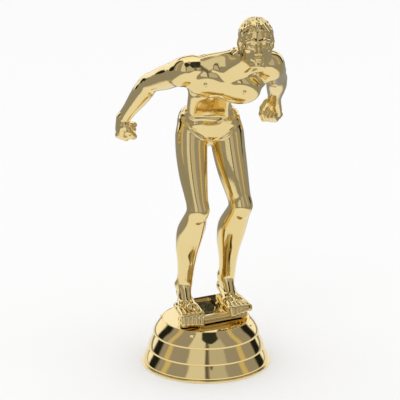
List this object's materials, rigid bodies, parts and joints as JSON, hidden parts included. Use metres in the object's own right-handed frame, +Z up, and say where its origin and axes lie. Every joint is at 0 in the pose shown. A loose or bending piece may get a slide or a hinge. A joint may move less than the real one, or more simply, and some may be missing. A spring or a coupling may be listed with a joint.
{
  "type": "figure trophy",
  "caption": "Gold-plated plastic trophy figure of a swimmer leaning into a racing start on a wedge starting block, on a round flared tiered base with a threaded fixing.",
  "frame": {"origin": "centre of the stud's free end, level with the foot of the base, on the base's axis", "axes": "+Z up along the base's axis, -Y to the figure's front, -X to the figure's right hand"},
  "size_m": [0.0566, 0.0566, 0.1255],
  "materials": {
    "base_shell": "vacuum-metallised bright gold over moulded plastic",
    "starting_block": "vacuum-metallised bright gold over moulded plastic",
    "figure_front_shell": "vacuum-metallised bright gold over moulded plastic",
    "figure_back_shell": "vacuum-metallised bright gold over moulded plastic",
    "right_arm": "vacuum-metallised bright gold over moulded plastic",
    "left_arm": "vacuum-metallised bright gold over moulded plastic",
    "fixing_stud": "zinc-plated steel",
    "block_nut": "zinc-plated steel",
    "flat_washer": "zinc-plated steel",
    "lock_washer": "zinc-plated steel",
    "clamp_nut": "zinc-plated steel"
  },
  "bodies": {
    "base": {"base_shell": "base_shell"},
    "figure": {"figure_front_shell": "figure_front_shell", "figure_back_shell": "figure_back_shell", "right_arm": "right_arm", "left_arm": "left_arm", "starting_block": "starting_block", "fixing_stud": "fixing_stud", "block_nut": "block_nut"},
    "washers": {"flat_washer": "flat_washer", "lock_washer": "lock_washer"},
    "nut": {"clamp_nut": "clamp_nut"}
  },
  "joints": [
    {"name": "figure_turn", "type": "hinge", "parent": "base", "child": "figure", "pos_m": [0, 0, 0], "axis": [0, 0, 1], "continuous": true},
    {"name": "washer_drop", "type": "slide", "parent": "figure", "child": "washers", "axis": [0, 0, -1], "range_m": [0, 0.00317]},
    {"name": "nut_turn", "type": "hinge", "parent": "washers", "child": "nut", "pos_m": [0, 0, 0], "axis": [0, 0, -1], "range_deg": [0, 1080.5]}
  ],
  "couplings": [
    {"joint": "nut_turn", "follows": "washer_drop", "rad_per_m": 5936.9}
  ]
}
